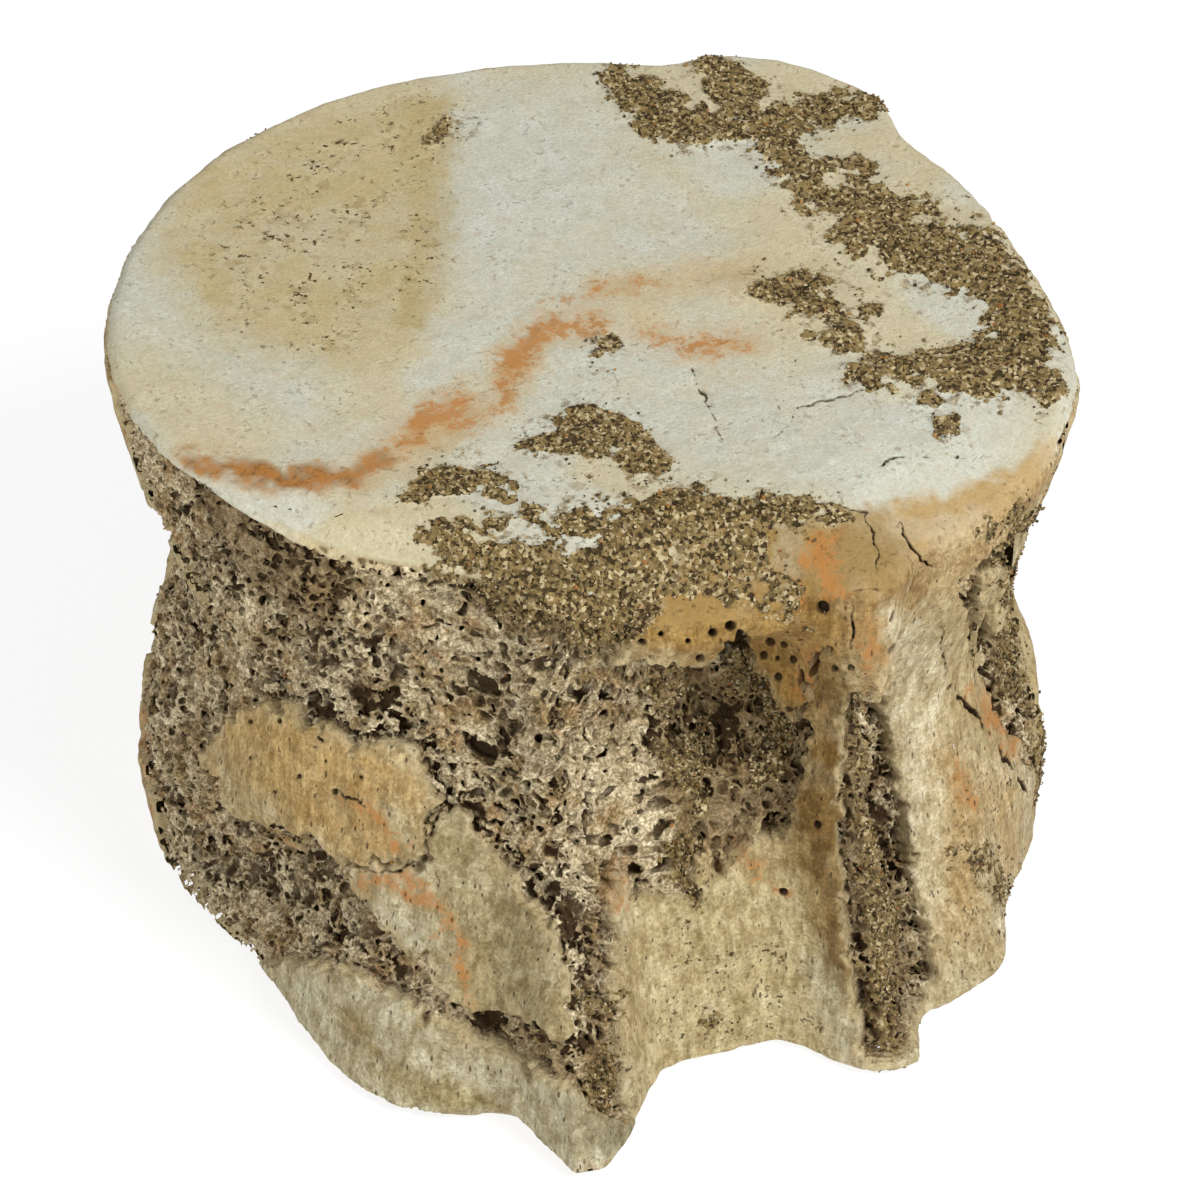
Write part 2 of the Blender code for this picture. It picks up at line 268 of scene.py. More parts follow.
PAINTS = (
    # The upper face
    Paint((192, 176, 132), 0.95, 46, (
        area((150, 230), (200, 165), (300, 112), (430, 88), (452, 130), (455, 230), (440, 300),
             (400, 350), (330, 365), (250, 355), (190, 320)),
    )),
    Paint((184, 167, 120), 0.8, 10, (
        area((395, 100), (448, 90), (455, 140), (456, 230), (440, 300), (418, 330), (392, 330),
             (410, 240)),
    )),
    Paint((200, 186, 148), 0.8, 60, (
        stroke((600, 285, 26), (700, 270, 30), (790, 280, 30)),
        stroke((350, 500, 22), (420, 470, 18), (520, 360, 18)),
        stroke((800, 110, 16), (900, 180, 18), (960, 215, 12)),
        stroke((1040, 380, 12), (1050, 440, 14), (1020, 480, 18)),
    )),
    # Bluish white on the upper face and its left rim: the pale bone's colour with a painted reflection of the
    # sky as a sheen
    Paint((201, 203, 190), 0.9, 60, (
        area((470, 80), (600, 62), (640, 150), (700, 200), (740, 250), (600, 290), (520, 320),
             (465, 380), (440, 400), (450, 230)),
        area((480, 420), (640, 370), (850, 360), (980, 420), (1000, 460), (860, 500), (700, 480),
             (560, 430)),
        stroke((120, 320, 20), (200, 345, 16), (300, 400, 30)),
    )),
    Paint((188, 164, 122), 1.15, 14, (
        area((800, 525), (846, 514), (890, 510), (1016, 470), (1050, 440), (1066, 480), (990, 560),
             (960, 590), (880, 610), (810, 600)),
    )),
    Paint((160, 134, 86), 1.1, 26, (
        area((690, 530), (790, 520), (880, 515), (935, 580), (880, 640), (800, 660), (640, 660)),
    )),
    # The side
    Paint((192, 164, 110), 1.0, 24, (
        area((205, 790), (200, 745), (250, 705), (300, 715), (420, 770), (430, 850), (350, 866),
             (280, 830)),
    )),
    Paint((160, 130, 76), 1.1, 24, (
        area((620, 650), (680, 575), (760, 555), (800, 600), (850, 620), (840, 700), (800, 730),
             (740, 650)),
    )),
    Paint((186, 176, 144), 0.8, 20, (
        stroke((215, 745, 8), (230, 790, 12), (270, 815, 10)),
        stroke((395, 815, 18), (402, 838, 16)),
    )),
    Paint((166, 156, 122), 1.0, 22, (
        area((428, 820), (470, 812), (530, 908), (566, 968), (566, 1040), (437, 990), (430, 900)),
    )),
    Paint((193, 188, 162), 1.0, 22, (
        stroke((375, 910, 8), (420, 935, 14), (450, 960, 10)),
        area((258, 965), (351, 976), (450, 1030), (560, 1090), (640, 1150), (560, 1190), (280, 1120)),
    )),
    # The right pedicel's inner wall: tan bone, painted darker as shade where it faces away from the light
    Paint((128, 105, 64), 1.1, 18, (
        area((806, 690), (830, 660), (850, 700), (838, 760), (843, 850), (850, 950), (852, 1010),
             (820, 960), (796, 870), (790, 830), (805, 760)),
    )),
    Paint((164, 140, 96), 0.9, 14, (
        stroke((817, 705, 9), (813, 742, 8)),
    )),
    Paint((170, 150, 106), 0.9, 18, (
        stroke((798, 845, 8), (806, 880, 12), (818, 915, 8)),
    )),
    Paint((198, 186, 148), 1.1, 22, (
        area((630, 890), (800, 870), (840, 1050), (640, 1100)),
    )),
    Paint((194, 190, 164), 1.0, 20, (
        stroke((812, 960, 8), (830, 1000, 12), (842, 1045, 12)),
    )),
    Paint((154, 140, 96), 0.9, 14, (
        stroke((330, 1000, 4), (352, 1020, 12), (370, 1050, 8)),
        stroke((390, 1070, 10), (420, 1085, 14), (470, 1098, 12), (500, 1110, 5)),
        stroke((690, 935, 4), (700, 950, 7)),
        stroke((735, 1000, 3), (745, 1030, 6)),
    )),
    Paint((136, 130, 104), 0.9, 20, (
        stroke((560, 1105, 4), (600, 1120, 22), (622, 1140, 14)),
    )),
    Paint((214, 205, 176), 1.0, 22, (
        area((880, 600), (940, 640), (950, 900), (925, 1000), (912, 900), (900, 760)),
    )),
    Paint((190, 160, 110), 0.8, 36, (
        stroke((950, 760, 14), (965, 830, 16), (955, 930, 14)),
        stroke((1000, 790, 16), (1010, 860, 14)),
        stroke((868, 600, 10), (876, 660, 9), (870, 700, 6)),
    )),
    Paint((196, 186, 152), 0.7, 30, (
        stroke((950, 960, 14), (940, 1020, 14)),
    )),
    # Iron stains, wide and weak, then narrow and strong
    Paint((200, 168, 118), 0.8, 30, (
        stroke((186, 458, 6), (230, 470, 12), (300, 478, 14), (350, 472, 15), (392, 452, 18)),
        stroke((392, 452, 18), (430, 425, 26), (465, 402, 18)),
        stroke((480, 420, 10), (505, 400, 16), (512, 355, 18), (545, 332, 18), (600, 322, 10)),
        stroke((630, 330, 10), (690, 344, 16), (750, 342, 10)),
        stroke((600, 285, 6), (660, 282, 8), (750, 268, 6)),
    )),
    Paint((142, 104, 62), 1.15, 16, (
        stroke((190, 459, 4), (230, 470, 9), (300, 480, 10), (350, 475, 7), (385, 458, 3)),
    )),
)
RUST = painted(
    (
        stroke((190, 459, 3), (230, 470, 6), (300, 480, 7), (350, 475, 7), (385, 458, 8)),
        stroke((400, 448, 5), (430, 422, 16), (462, 402, 9)),
        stroke((462, 420, 6), (487, 415, 4), (505, 400, 8), (512, 358, 12), (545, 332, 11), (600, 322, 4)),
        stroke((650, 338, 2), (690, 344, 9), (740, 343, 5)),
        stroke((548, 302, 0), (600, 290, 2), (660, 284, 2)),
        stroke((822, 548, 16), (832, 590, 9)),
        stroke((780, 575, 5), (800, 600, 4)),
        stroke((628, 868, 5), (621, 908, 4)),
        stroke((345, 792, 2), (372, 820, 5), (398, 850, 5)),
        stroke((365, 880, 4), (405, 885, 8), (440, 905, 5), (455, 945, 6), (470, 995, 4)),
        stroke((972, 694, 5), (1000, 722, 12), (1018, 750, 8)),
        stroke((745, 848, 4), (782, 895, 3)),
        stroke((866, 625, 3), (872, 660, 5)),
        stroke((700, 850, 2), (740, 840, 4)),
        stroke((960, 760, 4), (970, 800, 6)),
        stroke((815, 650, 4), (800, 690, 4)),
    ),
    soft=26,
)
SMOOTH_SHAPES = (
    area((200, 754), (217, 729), (223, 722), (244, 706), (269, 705), (291, 706), (298, 718),
         (301, 729), (316, 729), (337, 736), (348, 751), (358, 744), (378, 742), (394, 745),
         (414, 752), (421, 772), (425, 794), (437, 804), (424, 818), (424, 836), (421, 858),
         (401, 870), (373, 863), (344, 863), (330, 858), (317, 851), (308, 836), (280, 827),
         (251, 822), (233, 817), (223, 801), (212, 783), (201, 765)),
    area((428, 820), (451, 809), (469, 815), (476, 829), (491, 847), (509, 883), (530, 908),
         (544, 926), (559, 944), (566, 968), (572, 985), (560, 1010), (572, 1035), (555, 1045),
         (520, 1022), (490, 1008), (450, 1002), (437, 990), (423, 972), (426, 958), (401, 947),
         (384, 940), (373, 922), (366, 901), (355, 890), (344, 876), (351, 867), (373, 865),
         (401, 872), (423, 865)),
    area((225, 960), (258, 965), (294, 963), (330, 968), (351, 976), (366, 990), (385, 996),
         (420, 1014), (450, 1027), (480, 1042), (520, 1065), (560, 1090), (600, 1112),
         (640, 1132), (640, 1200), (500, 1200), (280, 1120)),
    area((634, 1110), (625, 1000), (620, 905), (630, 868), (642, 900), (667, 897), (681, 904),
         (690, 900), (697, 901), (700, 860), (706, 838), (714, 868), (722, 880), (728, 865),
         (738, 862), (748, 838), (760, 829), (775, 836), (788, 819), (795, 790), (803, 745),
         (806, 690), (822, 660), (848, 660), (850, 700), (838, 750), (838, 850), (840, 905),
         (846, 958), (856, 1020), (866, 1070), (850, 1090)),
    area((613, 669), (625, 645), (637, 629), (652, 612), (667, 597), (685, 572), (703, 558),
         (746, 548), (790, 530), (850, 500), (880, 560), (890, 640), (870, 700), (845, 690),
         (822, 655), (810, 660), (806, 700), (795, 712), (783, 722), (772, 708), (760, 690),
         (753, 660), (751, 638), (738, 634), (724, 647), (716, 662), (700, 668), (684, 664),
         (664, 671), (648, 664), (631, 668)),
    area((845, 500), (1070, 440), (1070, 500), (1012, 540), (962, 585), (975, 650), (1000, 720),
         (1035, 770), (1060, 800), (1060, 960), (1000, 1020), (925, 1080), (900, 1085),
         (925, 1010), (938, 940), (917, 915), (914, 840), (898, 790), (889, 722), (875, 690),
         (862, 640)),
    area((985, 575), (1010, 560), (1012, 610), (998, 640), (985, 620)),
)
SMOOTH = painted(SMOOTH_SHAPES, soft=5)
NEAR_SMOOTH = painted(SMOOTH_SHAPES, soft=36)
COARSE = painted(
    (
        area((400, 600), (600, 610), (640, 700), (640, 900), (560, 880), (430, 720)),
        area((640, 780), (740, 780), (720, 860), (640, 890)),
    ),
    soft=60,
)
SPECKLED = painted(
    (
        area((200, 240), (300, 120), (430, 90), (455, 250), (440, 300), (330, 365), (230, 350)),
        area((560, 470), (640, 420), (720, 470), (800, 520), (700, 640), (600, 540)),
        area((660, 900), (800, 890), (830, 1050), (650, 1080)),
        area((940, 780), (1040, 700), (1030, 960), (950, 1000)),
        area((620, 420), (650, 460), (700, 500), (560, 560), (480, 530)),
    ),
    soft=60,
)
SEEN_CLOSELY = painted(
    (
        area((60, 380), (110, 400), (170, 470), (230, 500), (330, 520), (400, 500), (520, 470),
             (640, 480), (760, 470), (800, 350), (1060, 380), (1090, 460), (1060, 700),
             (1060, 820), (1030, 830), (950, 740), (930, 800), (952, 930), (960, 1010), (930, 1100),
             (870, 1100), (845, 1045), (640, 1085), (650, 1150), (600, 1190), (540, 1110),
             (450, 1050), (360, 1000), (250, 985), (100, 860)),
    ),
    soft=34,
)
FIBROUS = painted(
    (
        area((600, 640), (700, 690), (820, 680), (835, 850), (760, 880), (640, 900), (610, 800)),
        area((470, 650), (560, 640), (640, 760), (640, 900), (600, 960), (520, 830)),
        stroke((905, 720, 10), (915, 800, 20), (915, 900, 20), (920, 1000, 16)),
        stroke((600, 880, 14), (605, 1000, 16), (612, 1110, 14)),
    ),
    soft=40,
)
SUNK = painted(
    (
        stroke((208, 802, 5), (235, 824, 9), (262, 838, 8), (305, 858, 8), (345, 878, 8), (372, 940, 6)),
        stroke((150, 780, 4), (200, 838, 6), (250, 880, 6)),
        stroke((735, 650, 5), (760, 690, 6), (775, 760, 8), (790, 800, 4)),
        stroke((640, 690, 5), (662, 740, 4), (668, 820, 4)),
        stroke((1008, 545, 8), (1000, 600, 8), (1004, 660, 8)),
        stroke((455, 690, 5), (480, 704, 7), (505, 712, 4)),
    ),
    soft=22,
)
# Darker brown on the broken bone: dirt, and painted shade where the canal's upper part lies in shadow
GRIME_AND_SHADE = painted(
    (
        area((660, 665), (830, 690), (835, 800), (790, 850), (760, 870), (700, 870), (670, 800)),
        area((170, 470), (330, 520), (360, 600), (300, 640), (220, 580)),
        stroke((620, 880, 6), (606, 1000, 14), (612, 1110, 16)),
        stroke((835, 690, 14), (850, 760, 26), (880, 880, 34), (890, 1050, 34)),
        area((430, 520), (700, 520), (680, 630), (600, 670), (470, 620)),
        area((985, 520), (1060, 500), (1050, 700), (1000, 700)),
        stroke((480, 1020, 8), (540, 1060, 10), (590, 1110, 10)),
    ),
    soft=40,
)
SHALLOW = painted(
    (
        area((60, 380), (150, 420), (235, 560), (215, 700), (195, 780), (300, 850), (380, 930),
             (430, 1010), (300, 980), (100, 900)),
    ),
    soft=70,
)
CRACKS = painted(
    (
        stroke((690, 365, 1.2), (704, 395, 1.5), (722, 440, 0.8)),
        stroke((865, 388, 0.8), (835, 398, 1.2), (800, 405, 1.2), (785, 430, 0.8), (765, 440, 0.6)),
        stroke((860, 482, 0.8), (890, 460, 1.4), (930, 456, 1.0), (978, 458, 0.6)),
        stroke((838, 505, 0.8), (866, 512, 1.2), (876, 545, 1.2), (880, 592, 0.7)),
        stroke((898, 520, 0.9), (918, 552, 1.5), (936, 578, 1.1)),
        stroke((998, 400, 0.6), (1020, 412, 0.9), (1048, 426, 0.6)),
        stroke((963, 580, 2.0), (968, 608, 2.4), (979, 640, 2.8), (982, 668, 3.0), (1006, 690, 2.2)),
        stroke((953, 686, 1.2), (964, 704, 2.0), (982, 722, 2.2), (1000, 744, 2.2), (1010, 765, 2.0)),
        stroke((1010, 765, 2.0), (1032, 797, 1.6)),
        stroke((853, 600, 0.8), (851, 625, 1.6), (850, 648, 1.0)),
        stroke((853, 592, 0.8), (885, 588, 0.8)),
        stroke((942, 626, 0.8), (944, 650, 1.2), (948, 672, 1.0)),
        stroke((423, 870, 1.0), (427, 838, 1.1), (437, 815, 1.2), (446, 808, 0.8)),
        stroke((352, 868, 0.8), (400, 871, 1.0), (425, 862, 0.8)),
        stroke((313, 730, 0.8), (322, 741, 1.4)),
        stroke((335, 790, 0.8), (352, 800, 1.2), (366, 806, 0.8)),
        stroke((398, 905, 0.8), (390, 930, 0.8), (395, 945, 0.6)),
        stroke((437, 870, 0.8), (436, 900, 0.8), (440, 925, 0.6)),
    ),
    soft=3,
)
HOLES = painted(
    (
        stroke((464, 690, 4), (478, 700, 8), (491, 704, 5)),
        stroke((464, 742, 4), (474, 757, 6), (487, 769, 3)),
        stroke((493, 746, 3), (496, 758, 4)),
        stroke((522, 690, 5)),
        stroke((801, 672, 2), (801, 684, 3)),
        stroke((812, 674, 4)),
        stroke((598, 800, 4), (602, 840, 3)),
        stroke((705, 676, 4)),
        stroke((895, 612, 1.5), (892, 622, 1.5)),
        stroke((895, 645, 1.5), (890, 653, 1.5)),
    ),
    soft=5,
)
FORAMINA = painted(
    (
        stroke((642, 643, 4.5)), stroke((661, 634, 3)), stroke((701, 660, 4.5)),
        stroke((713, 633, 4.5)), stroke((731, 626, 5.5)), stroke((688, 641, 3)),
        stroke((769, 644, 4.5)), stroke((782, 647, 3.5)), stroke((763, 656, 4)),
        stroke((792, 661, 4)), stroke((778, 677, 4)), stroke((788, 710, 3)),
        stroke((822, 608, 6.5)), stroke((829, 650, 3.5)), stroke((834, 670, 3.5)),
        stroke((851, 668, 3.5)), stroke((776, 660, 2.5)), stroke((250, 722, 2.5)),
        stroke((279, 721, 2.5)), stroke((250, 758, 2)), stroke((275, 792, 2)),
        stroke((300, 776, 2.5)), stroke((333, 793, 3)), stroke((360, 778, 2)),
        stroke((314, 748, 1.5)), stroke((325, 762, 2)), stroke((817, 825, 4)),
        stroke((783, 892, 4.5)),
    ),
    soft=3,
)


# The bone's grid of distances


def frame_solid():
    """All the frame's nodes as one list of points in mm and one of triangles."""
    points, triangles, count = [], [], 0
    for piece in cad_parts.values():
        mesh = piece.data
        mesh.calc_loop_triangles()
        place = np.empty(len(mesh.vertices) * 3, np.float32)
        mesh.vertices.foreach_get("co", place)
        corners = np.empty(len(mesh.loop_triangles) * 3, np.uint32)
        mesh.loop_triangles.foreach_get("vertices", corners)
        points.append(place.reshape(-1, 3) / MM)
        triangles.append(corners.reshape(-1, 3) + np.uint32(count))
        count += len(mesh.vertices)
    return np.concatenate(points), np.concatenate(triangles)


class Grid:
    """A box of voxels holding the distance to the bone's surface, negative inside."""

    def __init__(self, voxel, low, distance):
        self.voxel = voxel
        self.low = low
        self.distance = distance

    def near(self, further=None):
        """Flat indices of the voxels near the surface, and where a further condition holds."""
        flat = self.distance.ravel()
        wanted = (flat > -BAND_IN) & (flat < BAND_OUT)
        if further is not None:
            wanted &= further.ravel()
        return np.flatnonzero(wanted)

    def places(self, index):
        spot = np.stack(np.unravel_index(index, self.distance.shape), -1)
        return ((spot + self.low) * self.voxel).astype(np.float32)

    def slopes(self, index):
        """Unit vectors out of the bone."""
        flat = self.distance.ravel()
        _, rows, columns = self.distance.shape
        slope = [flat[index + step] - flat[index - step] for step in (rows * columns, columns, 1)]
        slope = np.stack(slope, -1)
        return slope / (np.linalg.norm(slope, axis=1, keepdims=True) + 1e-6)

    def index_at(self, points):
        """Flat indices of the voxels nearest to the points."""
        spot = np.rint(points / self.voxel - self.low).astype(np.int64)
        spot = np.clip(spot, 1, np.array(self.distance.shape) - 2)
        return np.ravel_multi_index(tuple(spot.T), self.distance.shape)

    def foot(self, points):
        """Distance of each point to the surface, and the way out there."""
        index = self.index_at(points)
        out = self.slopes(index)
        moved = points - self.places(index)
        return self.distance.ravel()[index] + np.einsum("ij,ij->i", moved, out), out

    def mesh(self):
        """Points in mm and quads of the surface."""
        grid = openvdb.FloatGrid()
        grid.transform = openvdb.createLinearTransform(voxelSize=self.voxel)
        grid.background = 2.0
        grid.copyFromArray(self.distance, ijk=tuple(int(step) for step in self.low))
        points, _, quads = grid.convertToPolygons(isovalue=0.0, adaptivity=0.0)
        return points.astype(np.float32), quads.astype(np.int64)


def whole_grid():
    """The solids as one body: grown until the thin cuts close, and shrunk again."""
    points, triangles = frame_solid()
    transform = openvdb.createLinearTransform(voxelSize=VOXEL)
    parts = openvdb.FloatGrid.createLevelSetFromPolygons(
        points, triangles=triangles, transform=transform, halfWidth=4.0
    )
    grown, quads = parts.convertToQuads(isovalue=GAP_CLOSE)
    whole = openvdb.FloatGrid.createLevelSetFromPolygons(
        grown, quads=quads, transform=transform, halfWidth=(BAND_IN + 1.0) / VOXEL
    )
    low, high = whole.evalActiveVoxelBoundingBox()
    distance = np.empty([int(end - start + 1) for start, end in zip(low, high)], np.float32)
    whole.copyToArray(distance, ijk=low)
    return Grid(VOXEL, np.array(low), distance + GAP_CLOSE)


def doubled(array):
    """The array with a value set between each two neighbours, along each of its axes."""
    for axis in range(3):
        array = np.moveaxis(array, axis, 0)
        finer = np.empty((2 * len(array) - 1, *array.shape[1:]), np.float32)
        finer[0::2] = array
        finer[1::2] = 0.5 * (array[:-1] + array[1:])
        array = np.moveaxis(finer, 0, axis)
    return np.ascontiguousarray(array)


def ramp(value, low, high):
    """0 below low and 1 above high, smooth between."""
    share = np.clip((value - low) / (high - low), 0.0, 1.0)
    return share * share * (3.0 - 2.0 * share)


# Places on the hinder side where the smooth bone is worn off, as the solids have them
WornPlace = namedtuple("WornPlace", "bearing level half_bearing half_level climb")
WORN_PLACES = (
    WornPlace(-136, 40, 17, 13, 0.2),
    WornPlace(176, 27, 20, 9, -0.2),
    WornPlace(131, 41, 13, 12, 0.3),
    WornPlace(-170, 55, 12, 5, 0.0),
    WornPlace(98, 26, 11, 14, 0.0),
    WornPlace(-98, 34, 20, 26, 0.0),
)


def worn_away(bearing, level, torn):
    """1 inside the hinder side's worn places and 0 outside them, with torn edges."""
    worn = np.zeros_like(bearing)
    for place in WORN_PLACES:
        across = (bearing - place.bearing + 180.0) % 360.0 - 180.0
        up = level - place.level - place.climb * across
        distance = np.hypot(across / place.half_bearing, up / place.half_level)
        worn = np.maximum(worn, ramp(1.0 - distance + 0.16 * torn, -0.03, 0.03))
    return worn


# How far the strands of broken bone left of the canal lean over
LEAN = 0.65


class Surface:
    """What the bone is like at each of many places: sandy, spongy, cracked."""

    def __init__(self, points, normals):
        self.points = points
        offset = points[:, :2] - AXIS.astype(np.float32)
        self.bearing = np.degrees(np.arctan2(offset[:, 0], -offset[:, 1]))
        self.level = points[:, 2]
        self.plain = VIEW.pixels(points)
        self.ragged = [
            pixel + 6.0 * cloud_noise(points, 1.8, 11 + axis, 3)
            for axis, pixel in enumerate(self.plain)
        ]
        facing = VIEW.facing(points, normals)
        slanting = ramp(facing, 0.12, 0.28)
        facing = ramp(facing, 0.02, 0.16)
        hollow = ramp(-np.abs(self.bearing - 7.0), -26.0, -18.0) * ramp(-self.level, -64.0, -60.0)
        self.seen = np.maximum(facing, hollow)
        self.up = ramp(normals[:, 2], 0.45, 0.75) * ramp(self.level, 60.0, 63.0)
        self.down = ramp(-normals[:, 2], 0.55, 0.8) * ramp(-self.level, -8.0, -5.0)
        side = (1.0 - np.maximum(self.up, self.down)) * ramp(self.level, 0.5, 3.0)
        self.blotches = cloud_noise(points, 9.0, 22, 3)
        torn = cloud_noise(points, 3.0, 23, 3)
        crumbs = 0.26 * cloud_noise(points, 3.6, 24, 2) + 0.16 * smooth_noise(points, 0.9, 25)
        sand = self.mixed(SAND, 0.8 * ramp(self.blotches, 0.7, 1.1) * side)
        self.sand = ramp(sand + crumbs * (sand > 0.02), 0.42, 0.62)
        self.dust = sand
        worn = worn_away(self.bearing, self.level, torn)
        self.spongy = side * (1.0 - self.mixed(SMOOTH, 1.0 - worn))
        under = self.down * ramp(self.blotches, 0.35, 0.6)
        self.spongy = np.maximum(self.spongy, 0.6 * under)
        self.coarse = self.mixed(COARSE, ramp(self.blotches, 0.5, 0.9))
        self.shallow = self.mixed(SHALLOW, ramp(-self.blotches, 0.0, 0.6))
        self.fibrous = self.mixed(FIBROUS, ramp(self.blotches, 0.1, 0.5))
        self.sunk = self.mixed(SUNK, 0.0)
        self.beside = ramp(self.mixed(NEAR_SMOOTH, 0.0), 0.05, 0.45)
        self.lean = LEAN * ramp(-self.bearing, 0.0, 25.0) * self.seen
        self.grime_and_shade = self.mixed(GRIME_AND_SHADE, ramp(self.blotches, 0.0, 0.6))
        self.rust = self.mixed(RUST, 0.55 * ramp(-self.blotches, 0.5, 1.0))
        wander = [
            pixel + 2.6 * cloud_noise(points, 1.6, 14 + axis, 2) for axis, pixel in enumerate(self.plain)
        ]
        self.crack = slanting * looked_up(CRACKS, *wander) * ramp(torn, -1.3, -0.2)
        self.hole = self.seen * side * looked_up(HOLES, *self.plain)
        self.foramen = self.seen * looked_up(FORAMINA, *self.plain)

    def mixed(self, canvas, hidden):
        """The canvas where the photograph shows the place, and another value elsewhere."""
        return self.seen * looked_up(canvas, *self.ragged) + (1.0 - self.seen) * hidden

    def worn_distance(self, distance):
        """Distance to the surface that the bone has without its pores."""
        uneven = cloud_noise(self.points, (4.0, 4.0, 5.0), 31, 3)
        broken = np.flatnonzero(self.spongy > 0.02)
        chips = np.zeros(len(distance), np.float32)
        chips[broken], _ = cells(self.points[broken], (1.5, 1.5, 1.9), 35)
        leaning = self.points.copy()
        leaning[:, 0] += self.lean * self.points[:, 2]
        strands = np.abs(smooth_noise(leaning, (0.9, 0.9, 5.5), 37))
        steps = 0.55 + 0.5 * uneven + (0.9 - 0.5 * self.fibrous) * chips + 1.8 * self.fibrous * strands
        result = distance + self.spongy * (steps + 1.6 * self.sunk + 0.7 * self.beside)
        weathered = 0.20 * cloud_noise(self.points, 6.0, 32, 3)
        weathered += 0.09 * cloud_noise(self.points, 1.4, 36, 2)
        return result - (1.0 - self.spongy) * weathered * (1.0 - 0.6 * self.up)

    def skin_colour(self):
        """Linear colour of the smooth bone, painted area by area."""
        broad = ramp(cloud_noise(self.points, 14.0, 51, 3), -0.3, 0.5)[:, None]
        middle = ramp(cloud_noise(self.points, 3.5, 52, 3), -0.7, 0.7)
        top = (1.0 - broad) * linear(CREAM_BONE) + broad * linear(PALE_BONE)
        side = (1.0 - broad) * linear(SIDE_BONE) + broad * linear(SIDE_BONE_PALE)
        result = side + self.up[:, None] * (top - side)
        ochre = (ramp(self.blotches, 0.2, 0.8) * (1.0 - self.seen))[:, None]
        result += 0.7 * ochre * (linear(OCHRE_BONE) - result)
        for paint in PAINTS:
            canvas = painted(paint.shapes, paint.soft)
            share = paint.strength * self.seen * looked_up(canvas, *self.ragged)
            share = share * (0.72 + 0.28 * middle)
            result += share[:, None] * (linear(paint.colour) - result)
        return result


WALL_FINE = 0.12
WALL_WIDE = 0.28
WALL_SHALLOW = 0.16
DEEPEST_PORE = 3.2


def pores(points, depth, face, picked):
    """How far each point lies inside a pore of the spongy bone, in mm, negative in its walls."""
    coarse = ramp(face.coarse[picked], 0.15, 0.5)
    shallow = ramp(face.shallow[picked], 0.15, 0.5)
    bent = points.copy()
    bent[:, 0] += face.lean[picked] * coarse * points[:, 2]
    for axis in range(3):
        bent[:, axis] += 0.42 * smooth_noise(points, 1.6, 41 + axis)
    density = 0.07 * smooth_noise(points, 3.0, 46)
    density += (0.09 - 0.04 * face.fibrous[picked]) * smooth_noise(points, 0.8, 48)

    def room(size, wall, seed, share):
        """Room between the walls of one size of cells, where these have a share of the bone."""
        result = np.full(len(bent), -1.0, np.float32)
        wanted = np.flatnonzero(share > 0.1)
        nearest, second = cells(bent[wanted], size, seed)
        result[wanted] = 0.5 * (second - nearest) - 0.5 * wall + 0.9 * (share[wanted] - 1.0)
        return result

    fine = room((1.2, 1.2, 1.4), WALL_FINE, 44, 1.0 - 0.38 * coarse - 0.4 * shallow)
    wide = room((1.2, 1.2, 5.0), WALL_WIDE, 45, coarse)
    round_ones = room((1.4, 1.4, 1.1), WALL_SHALLOW, 49, shallow)
    inside = np.maximum(np.maximum(fine, wide), round_ones) + density
    limit = 1.5 + 0.4 * coarse - 0.3 * shallow + 0.5 * smooth_noise(points, 4.0, 47)
    limit += 0.4 * smooth_noise(points, 1.0, 50)
    inside = np.minimum(inside, limit - depth)
    inside = np.minimum(inside, 4.0 * (face.spongy[picked] - 0.35))
    return inside - 0.30 * face.sand[picked]


def carved(distance, points, face):
    """The distances once pores, cracks and holes are cut and sand is laid on."""
    surface = face.worn_distance(distance)
    picked = np.flatnonzero((face.spongy > 0.05) & (surface < 0.6) & (surface > -DEEPEST_PORE))
    room = pores(points[picked], -surface[picked], face, picked)
    surface[picked] = np.maximum(surface[picked], room)
    gritty = np.flatnonzero(face.sand > 0.01)
    grains, _ = cells(points[gritty], (0.8, 0.8, 0.8), 33)
    lumps = cloud_noise(points[gritty], 2.0, 34, 2)
    surface[gritty] -= face.sand[gritty] * (0.20 + 0.30 * lumps - 0.5 * (grains - 0.3))
    surface = np.maximum(surface, np.minimum(0.9 * (face.crack - 0.55), 0.9 + distance))
    surface = np.maximum(surface, np.minimum(2.5 * (face.hole - 0.5), 3.6 + distance))
    return np.maximum(surface, np.minimum(1.2 * (face.foramen - 0.5), 1.6 + distance))


def carve(base, target, index):
    """Carves the target grid at these voxels, and returns what the surface is like at them."""
    points = base.places(index)
    out = base.slopes(index)
    distance = base.distance.ravel()[index]
    face = Surface(points - out * distance[:, None], out)
    target.distance.ravel()[index] = carved(distance, points, face)
    return face


def largest_piece(points, quads):
    """Keeps only the largest connected surface."""
    label = np.arange(len(points))
    ends = np.concatenate([quads[:, [0, 1]], quads[:, [1, 2]], quads[:, [2, 3]], quads[:, [3, 0]]])
    changed = True
    while changed:
        low = np.minimum(label[ends[:, 0]], label[ends[:, 1]])
        before = label.copy()
        np.minimum.at(label, before[ends[:, 0]], low)
        np.minimum.at(label, before[ends[:, 1]], low)
        while not np.array_equal(label[label], label):
            label = label[label]
        changed = not np.array_equal(label, before)
    names, counts = np.unique(label, return_counts=True)
    keep = label == names[np.argmax(counts)]
    number = np.cumsum(keep) - 1
    kept = quads[keep[quads[:, 0]]]
    return points[keep], number[kept]


def vertex_normals(points, quads):
    """Unit normals of the points, weighted by the faces' areas."""
    first = points[quads[:, 2]] - points[quads[:, 0]]
    other = points[quads[:, 3]] - points[quads[:, 1]]
    across = np.cross(first, other)
    total = np.zeros_like(points)
    for corner in range(4):
        for axis in range(3):
            total[:, axis] += np.bincount(quads[:, corner], across[:, axis], len(points))
    return total / (np.linalg.norm(total, axis=1, keepdims=True) + 1e-9)


# Materials

